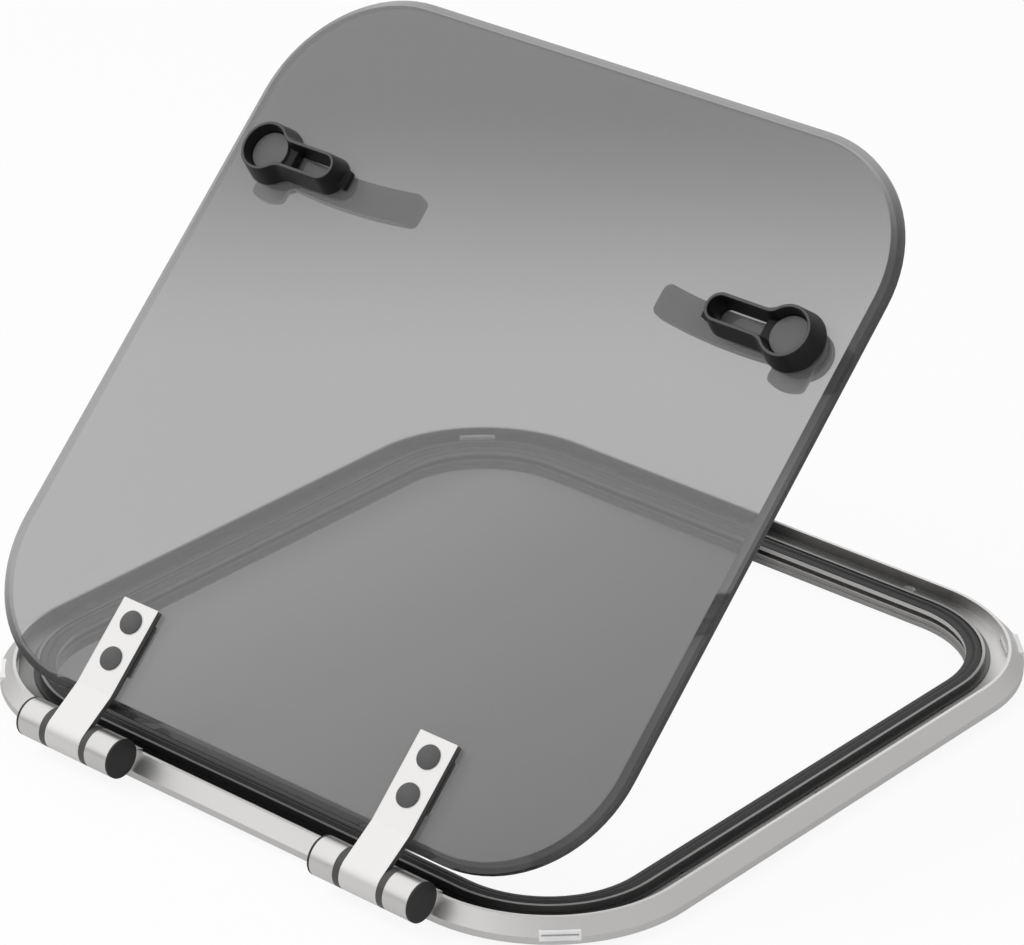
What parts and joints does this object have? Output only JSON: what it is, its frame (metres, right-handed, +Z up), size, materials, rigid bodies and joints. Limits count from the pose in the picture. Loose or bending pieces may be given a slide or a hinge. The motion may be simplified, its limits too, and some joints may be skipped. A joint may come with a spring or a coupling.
{
  "type": "deck hatch",
  "caption": "Square flush deck hatch: anodised aluminium frame with gutter and seal, and a smoked acrylic lid on friction hinges, held open, with twist-to-lock cam handles.",
  "frame": {"origin": "centre of the frame on the deck plane, which is the frame's flat underside outside its skirt", "axes": "+X along the hinge axis, +Y away from the hinges, +Z up out of the deck"},
  "size_m": [0.5, 0.5208, 0.3699],
  "materials": {
    "anodised_aluminium": "satin clear anodised",
    "seal_rubber": "matt black extrusion",
    "spout_plastic": "satin light grey moulding",
    "black_plastic": "fine-grained black moulding",
    "disc_plastic": "satin grey insert",
    "washer_plastic": "satin dark acetal",
    "smoked_acrylic": "polished smoked acrylic, bevelled edge",
    "pad_rubber": "matt black",
    "steel": "stainless, machined"
  },
  "bodies": {
    "frame": {"deck_frame": "anodised_aluminium", "lid_seal": "seal_rubber", "drain_spouts": "spout_plastic", "left_hinge_base": "anodised_aluminium", "right_hinge_base": "anodised_aluminium", "left_hinge_bolt": "steel", "right_hinge_bolt": "steel", "disc_springs": "steel", "hinge_nuts": "steel", "friction_washers": "washer_plastic", "hinge_end_caps": "black_plastic", "hinge_base_screws": "steel"},
    "lid": {"lid_pane": "smoked_acrylic", "left_hinge_arm": "anodised_aluminium", "right_hinge_arm": "anodised_aluminium", "hinge_bushes": "washer_plastic", "arm_pads": "pad_rubber", "pane_sleeves": "washer_plastic", "backing_plates": "steel", "arm_bolts": "steel", "bolt_caps": "black_plastic", "arm_nuts": "steel", "handle_bushes": "black_plastic"},
    "left_handle": {"left_outer_handle": "black_plastic", "left_hub_disc": "disc_plastic", "left_spindle": "steel", "left_spindle_seal": "pad_rubber", "left_collar": "black_plastic", "left_cam_plate": "steel", "left_inner_lever": "black_plastic", "left_lever_screw": "steel"},
    "right_handle": {"right_outer_handle": "black_plastic", "right_hub_disc": "disc_plastic", "right_spindle": "steel", "right_spindle_seal": "pad_rubber", "right_collar": "black_plastic", "right_cam_plate": "steel", "right_inner_lever": "black_plastic", "right_lever_screw": "steel"}
  },
  "joints": [
    {"name": "lid_hinge", "type": "hinge", "parent": "frame", "child": "lid", "pos_m": [0, -0.2587, 0.0164], "axis": [1, 0, 0], "range_deg": [-45, 55]},
    {"name": "left_handle_turn", "type": "hinge", "parent": "lid", "child": "left_handle", "pos_m": [-0.1973, 0.00293, 0.27803], "axis": [0, -0.7071, 0.7071], "range_deg": [-90, 0]},
    {"name": "right_handle_turn", "type": "hinge", "parent": "lid", "child": "right_handle", "pos_m": [0.1973, 0.00293, 0.27803], "axis": [0, -0.7071, 0.7071], "range_deg": [0, 90]}
  ]
}
